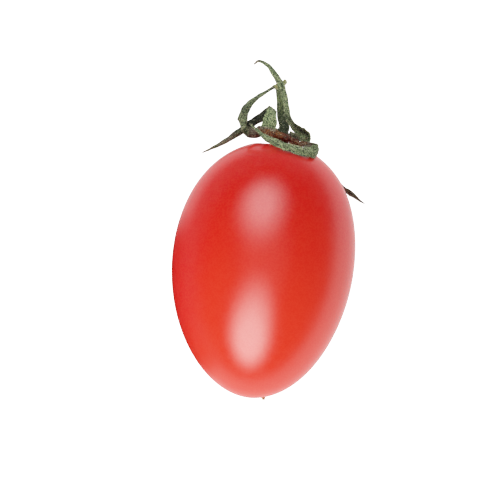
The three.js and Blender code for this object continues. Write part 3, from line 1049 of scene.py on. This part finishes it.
def hair_material(settings):
    """Pale hairs, some of them greener."""
    s = Shader("pale_hair")
    colour = s.mix(s.fade(s.noise(0.7), 0.4, 0.6), settings.speck, HAIR_GREEN)
    return s.finish(colour, 0.5)


# ------------------------------------------------------------------ the stalk


STALK_SIDES = 72
STALK_RINGS = 150
HAIRY_RINGS = 140  # the rings below the torn end, which carry hairs
STALK_ROOT = 0.35  # how deep its foot goes into the disc
FOOT_FLARE = 0.42
KNUCKLE_FLARE = 0.42
KNUCKLE_LENGTH = 0.85
SLANT_REACH = 1.1  # how far down from the end the slant and the fraying reach
TORN_RINGS = np.array((0.9, 0.72, 0.5, 0.3, 0.12))[:, None]  # their sizes, where the rim is 1
TORN_DEPTH = 0.5


def stalk_surface():
    """A ribbed tube along the stalk's line, flared at its foot and at the knuckle.

    At the top the rings turn inwards and down, which makes the torn, hollowed end, and the
    whole end slopes by the knuckle's slant and frays by ripples.
    """
    foot = CROWN_POINT + SEAT_GAP * CROWN_NORMAL
    spine = [CROWN_POINT - STALK_ROOT * CROWN_NORMAL, foot, foot + STALK_STEP * CROWN_NORMAL]
    spine = np.array([*spine, *(CROWN_POINT + np.array(b) for b in STALK_BENDS)])
    places, length = even_places(spine, STALK_RINGS)
    line = through(spine, places)
    ahead = unit(np.gradient(line, axis=0))
    side = unit(np.cross(ahead, (0, 0, 1)))
    face = np.cross(side, ahead)
    along = np.linspace(0, length, STALK_RINGS)[:, None]
    turn = turns(STALK_SIDES)
    x, z = np.cos(turn), np.sin(turn)

    ribs = 0.035 * np.cos(6 * turn + 0.25 * along) + 0.02 * np.cos(11 * turn - 0.3 * along)
    uneven = 0.03 * ripple(1.4 * along, 1.5 * z, 61) + 0.012 * ripple(7 * along, 6 * z, 62)
    near_end = np.clip((along - length + KNUCKLE_LENGTH) / 0.4, 0, 1)
    rounding = np.clip((along - length + 0.25) / 0.25, 0, 1) ** 2
    flare = FOOT_FLARE * np.exp(-along / 0.6)
    flare = flare + KNUCKLE_FLARE * np.sin(math.pi / 2 * near_end) ** 2 - 0.14 * rounding
    lips = 0.05 * near_end * np.cos(2 * turn + 0.2)
    reach = STALK_RADIUS - 0.03 + ribs + uneven + flare + lips
    rings = carried(line, side, face, reach * x, reach * z)

    sink = TORN_DEPTH * (1 - TORN_RINGS**2)
    middle = line[-1] - ahead[-1] * sink[..., None]
    torn = middle + (rings[-1] - line[-1])[None] * TORN_RINGS[..., None]
    rings = np.concatenate((rings, torn))
    end_share = np.clip(1 - (line[-1][1] - rings[..., 1]) / SLANT_REACH, 0, 1.3)
    fray = 0.09 * ripple(4 * x, 4 * z, 63) * np.clip(end_share, 0, 1) ** 3
    slant = math.tan(KNUCKLE_SLANT) * (rings[..., 0] - line[-1][0])
    rings[..., 1] += end_share * slant + fray

    height = np.concatenate((along / length, np.ones(TORN_RINGS.shape)))
    cut = np.concatenate((np.zeros(along.shape), 1 - TORN_RINGS**3))
    return rings, {"height": height, "cut": cut}


STALK_DARK, STALK_LIGHT = (0.035, 0.05, 0.017), (0.125, 0.158, 0.06)
STALK_FOOT_SHADE = (0.014, 0.022, 0.008)
KNUCKLE_GREEN = (0.3, 0.3, 0.11)
TORN_BROWN = (0.14, 0.1, 0.04)


def stalk_material(settings):
    """Ribbed olive-green stalk with painted shade that darkens its foot, yellow-green at the
    knuckle, brown inside.
    """
    s = Shader("green_stalk")
    height, cut = s.read("height"), s.read("cut")
    grain = s.noise(0.3, 3, 0.6, s.stretched(1, 0.4, 1))
    colour = s.mix(s.fade(grain, 0.4, 0.6), STALK_DARK, STALK_LIGHT)
    # Painted shade: the foot, down among the sepals, is darkened to near black.
    colour = s.mix(s.fade(height, 0.6, 0.2, 0, 0.85), colour, STALK_FOOT_SHADE)
    colour = s.mix(s.fade(height, 0.86, 0.93, 0, 0.7), colour, KNUCKLE_GREEN)
    colour = s.mix(s.fade(cut, 0.15, 0.6), colour, TORN_BROWN)
    colour = s.specks(colour, settings.speck, settings.dark_green)
    normal = s.bump(grain, 0.08, 0.8)
    return s.finish(colour, 0.62, normal, Specular_IOR_Level=0.35)


class TOMATO_OT_stalk(bpy.types.Operator):
    """Builds the snapped stalk and its hairs"""

    bl_idname = "tomato.stalk"
    bl_label = "Build Stalk"

    def execute(self, context):
        settings = context.scene.tomato.calyx
        rings, attributes = stalk_surface()
        piece = ringed_piece("snapped_stalk", rings, attributes)
        finish_piece(piece, stalk_material(settings), "stalk", "stalk")
        hairs = [hairs_on(rings[:HAIRY_RINGS], settings, 700)]
        hair_piece("stalk_hairs", hairs, hair_material(settings), "stalk")
        return {"FINISHED"}


# ------------------------------------------------------------------ the style's stub


STUB_SIDES = 24
CORK_DARK, CORK_LIGHT = (0.1, 0.035, 0.015), (0.4, 0.19, 0.07)
STUB_PROFILE = np.array(  # distance from its own middle and height over the skin
    ((0.42, -0.1), (0.34, 0.02), (0.24, 0.14), (0.2, 0.3), (0.17, 0.42), (0.08, 0.4), (0.02, 0.36))
)


def stub_rings():
    """A short ribbed cone with a sunken top, standing on the skin beside the blossom end."""
    base = np.array((STUB_SIDE, -skin_height(STUB_SIDE, -1), AXIS_HEIGHT))
    out = unit(np.array((STUB_SIDE / FRUIT_RADIUS**2, base[1] / BLOSSOM_HALF**2, 0)))
    base[0] += BOW * ((base[1] / BLOSSOM_HALF) ** 2 - 1 / 3)
    side = unit(np.cross(out, (0, 0, 1)))
    other = np.cross(side, out)
    turn = turns(STUB_SIDES)
    x, y = np.cos(turn), np.sin(turn)
    reach = STUB_PROFILE[:, :1] * (1 + 0.14 * np.cos(5 * turn) + 0.08 * ripple(3 * x, 3 * y, 81))
    lift = STUB_PROFILE[:, 1:] + 0.03 * np.cos(2 * turn)
    middle = base + lift[..., None] * out
    return middle + reach[..., None] * (x[..., None] * side + y[..., None] * other)


def cork_material():
    """Corky brown, mottled from dark to orange."""
    s = Shader("cork_scar")
    colour = s.mix(s.fade(s.noise(0.12, 3), 0.35, 0.65), CORK_DARK, CORK_LIGHT)
    return s.finish(colour, 0.8, s.bump(s.noise(0.06, 2), 0.02, 0.7))


class TOMATO_OT_stub(bpy.types.Operator):
    """Builds the dry stub of the flower's style"""

    bl_idname = "tomato.stub"
    bl_label = "Build Style Stub"

    def execute(self, context):
        piece = ringed_piece("dry_style_stub", stub_rings())
        finish_piece(piece, cork_material(), "cork", "style_stub")
        return {"FINISHED"}


# ------------------------------------------------------------------ the stage

CAMERA_LENS = 135
CAMERA_HEIGHT = 306.7  # above the fruit's axis, in mm
CAMERA_AIM = (-2.41, 1.48)  # the place on the axis plane under the camera, in mm
CAMERA_ROLL = math.radians(7.33)

# Each light is a stack of nested oval softboxes, which fades out softly. A light has its turn
# and rise as seen from the fruit's middle, and the width and height of its boxes, all in
# degrees. Where there are two numbers they are for the widest box and the narrowest.
LIGHTS = (
    dict(name="blossom_light", turn=-97.5, rise=(43, 37.5), width=(64, 27), height=(80, 31)),
    dict(name="stem_light", turn=105, rise=(49, 48.5), width=(70, 22), height=(68, 22)),
)
LIGHT_SHARES = (0.07, 0.13, 0.2, 0.22, 0.2, 0.18)  # of the radiance, from the widest box
LIGHT_REACH = 440  # how far the widest box stands from the fruit's middle, in mm
LIGHT_STEP = 8  # how much nearer each narrower box stands


def add_softbox(name, turn, rise, wide, tall, radiance, reach):
    """An oval light seen from the fruit's middle at a turn and a rise, so many degrees across."""
    light = bpy.data.lights.new(name, "AREA")
    light.shape = "ELLIPSE"
    spans = [2 * reach * math.tan(math.radians(side) / 2) * MM for side in (wide, tall)]
    light.size, light.size_y = spans
    light.energy = radiance * math.pi * math.pi / 4 * light.size * light.size_y
    box = bpy.data.objects.new(name, light)
    turn, rise = math.radians(turn), math.radians(rise)
    flat = math.cos(rise)
    way = np.array((math.cos(turn) * flat, math.sin(turn) * flat, math.sin(rise)))
    box.location = (np.array((0, 0, AXIS_HEIGHT)) + reach * way) * MM
    right = unit(np.cross((0, 0, 1), way))
    up = np.cross(way, right)
    box.rotation_mode = "QUATERNION"
    box.rotation_quaternion = Matrix(np.stack((right, up, way), 1).tolist()).to_quaternion()
    bpy.context.scene.collection.objects.link(box)


def add_lights(settings):
    """The stacks of softboxes, each box a step nearer and narrower than the one before."""
    for light in LIGHTS:
        radiance = getattr(settings, light["name"])
        for level, share in enumerate(LIGHT_SHARES):
            inward = level / (len(LIGHT_SHARES) - 1)
            wide, tall = (a + (b - a) * inward for a, b in (light["width"], light["height"]))
            low, high = light["rise"]
            rise = low + (high - low) * inward**2
            name = f"{light['name']}_{level}"
            reach = LIGHT_REACH - LIGHT_STEP * level
            add_softbox(name, light["turn"], rise, wide, tall, share * radiance, reach)


DARK_SIDE = math.radians(-158)  # the turn at which the table is dark
DARK_EDGE = (0.93, 0.77)  # cosines of the angles off it between which the table brightens
DIM_SIDE = math.radians(127)  # the turn at which the table is dimmer and further down
DIM_SHARE = 0.75  # its brightness there, as a share of that on the other side
DIM_DROP = 0.25  # how much further down it starts there, and further up on the other side
TABLE_EDGE = (-0.07, -0.5)  # heights between which the table fades in: -1 is straight down
OVERHEAD_EDGE = (0.75, 1.0)  # heights between which the room brightens: 1 is straight up


def studio_world(settings):
    """A dim room, a little brighter overhead, over a pale table that is dark on one side.

    The brightness depends only on the direction: its height and its turn.
    """
    world = bpy.data.worlds.new("studio")
    world.use_nodes = True
    world.cycles.sampling_method = "NONE"
    n = Nodes(world.node_tree)
    way = n.add("ShaderNodeTexCoord").outputs["Generated"]
    height = n.add("ShaderNodeSeparateXYZ", {"Vector": way}).outputs["Z"]

    def vector_math(operation, a, b, output="Vector"):
        return n.add("ShaderNodeVectorMath", {0: a, 1: b}, operation=operation).outputs[output]

    level = vector_math("MULTIPLY", way, (1, 1, 0))
    level = vector_math("NORMALIZE", level, (0, 0, 0))
    dark_side, dim_side = (
        vector_math("DOT_PRODUCT", level, (math.cos(turn), math.sin(turn), 0), "Value")
        for turn in (DARK_SIDE, DIM_SIDE)
    )
    reach = {"Value": dim_side, "From Min": -1, "From Max": 1}
    tones = {"To Min": settings.table, "To Max": DIM_SHARE * settings.table}
    table = n.add("ShaderNodeMapRange", reach | tones).outputs["Result"]
    below = n.fade(dark_side, *DARK_EDGE, 0.0, table)
    above = n.fade(height, *OVERHEAD_EDGE, settings.around, settings.overhead)
    lifted = n.math("ADD", height, n.math("MULTIPLY", dim_side, DIM_DROP))
    strength = n.fade(lifted, *TABLE_EDGE, above, below)
    background = n.tree.nodes["Background"]
    background.inputs["Color"].default_value = (1, 1, 1, 1)
    n.tree.links.new(strength, background.inputs["Strength"])
    return world


SHOULDER = ((0.72, 0.72), (1.1, 0.87), (1.9, 1.02))  # brightness before and after the curve


def soft_shoulder(view):
    """Lets bright light roll off gently, as film does, in place of a hard clip."""
    view.use_curve_mapping = True
    mapping = view.curve_mapping
    mapping.use_clip = False
    mapping.clip_max_x = mapping.clip_max_y = 3
    curve = mapping.curves[3]  # the one for all three channels
    curve.points[1].location = SHOULDER[0]
    for point in SHOULDER[1:]:
        curve.points.new(*point)
    mapping.update()


FLOOR_HALF = 1.5  # in metres, as FLOOR_DROP is
FLOOR_DROP = 2e-5


def add_floor(settings):
    """A pale table, lit through from below, just under the fruit."""
    square = ((-1, -1), (1, -1), (1, 1), (-1, 1))
    corners = [(FLOOR_HALF * x, FLOOR_HALF * y, -FLOOR_DROP) for x, y in square]
    mesh = bpy.data.meshes.new("floor")
    mesh.from_pydata(corners, [], [(0, 1, 2, 3)])
    floor = bpy.data.objects.new("floor", mesh)
    bpy.context.scene.collection.objects.link(floor)
    s = Shader("backlit_table")
    tone = (*[settings.floor] * 3, 1)
    glow = {"Emission_Color": (1, 1, 1, 1), "Emission_Strength": settings.floor_glow}
    mesh.materials.append(s.finish(tone, 0.9, Specular_IOR_Level=0.0, **glow))
    floor.visible_glossy = False


def add_camera():
    """A long lens that looks straight down on the fruit."""
    camera = bpy.data.cameras.new("camera")
    camera.lens = CAMERA_LENS
    camera.clip_start, camera.clip_end = 0.01, 10
    eye = bpy.data.objects.new("camera", camera)
    x, y = CAMERA_AIM
    eye.location = (x * MM, y * MM, (AXIS_HEIGHT + CAMERA_HEIGHT) * MM)
    eye.rotation_euler = (0, 0, CAMERA_ROLL)
    bpy.context.scene.collection.objects.link(eye)
    bpy.context.scene.camera = eye


class TOMATO_OT_stage(bpy.types.Operator):
    """Builds the floor, the lights and the camera"""

    bl_idname = "tomato.stage"
    bl_label = "Build Stage"

    def execute(self, context):
        settings = context.scene.tomato.stage
        add_floor(settings)
        context.scene.world = studio_world(settings)
        add_lights(settings)
        add_camera()
        context.scene.view_settings.view_transform = "Standard"
        soft_shoulder(context.scene.view_settings)
        return {"FINISHED"}


# ------------------------------------------------------------------ the add-on


class TOMATO_PT_panel(bpy.types.Panel):
    """Lists the tomato's builders and settings"""

    bl_idname = "TOMATO_PT_panel"
    bl_label = "Plum Tomato"
    bl_space_type = "VIEW_3D"
    bl_region_type = "UI"
    bl_category = "Tomato"

    def draw(self, context):
        for operator in BUILDERS:
            self.layout.operator(operator.bl_idname)
        tomato = context.scene.tomato
        for group in (tomato.fruit, tomato.calyx, tomato.stage):
            for name in group.__annotations__:
                self.layout.prop(group, name)


BUILDERS = (
    TOMATO_OT_fruit,
    TOMATO_OT_disc,
    TOMATO_OT_stalk,
    TOMATO_OT_sepals,
    TOMATO_OT_stub,
    TOMATO_OT_stage,
)
SETTINGS = (FruitSettings, CalyxSettings, StageSettings, TomatoSettings)
CLASSES = (*SETTINGS, *BUILDERS, TOMATO_PT_panel)


def register():
    """Adds the classes and the settings to Blender."""
    for made in CLASSES:
        bpy.utils.register_class(made)
    bpy.types.Scene.tomato = PointerProperty(type=TomatoSettings)


def unregister():
    """Takes them out again."""
    del bpy.types.Scene.tomato
    for made in reversed(CLASSES):
        bpy.utils.unregister_class(made)


def main():
    """Builds everything in order."""
    register()
    bpy.ops.tomato.fruit()
    bpy.ops.tomato.disc()
    bpy.ops.tomato.stalk()
    bpy.ops.tomato.sepals()
    bpy.ops.tomato.stub()
    bpy.ops.tomato.stage()


if __name__ == "__main__":
    main()
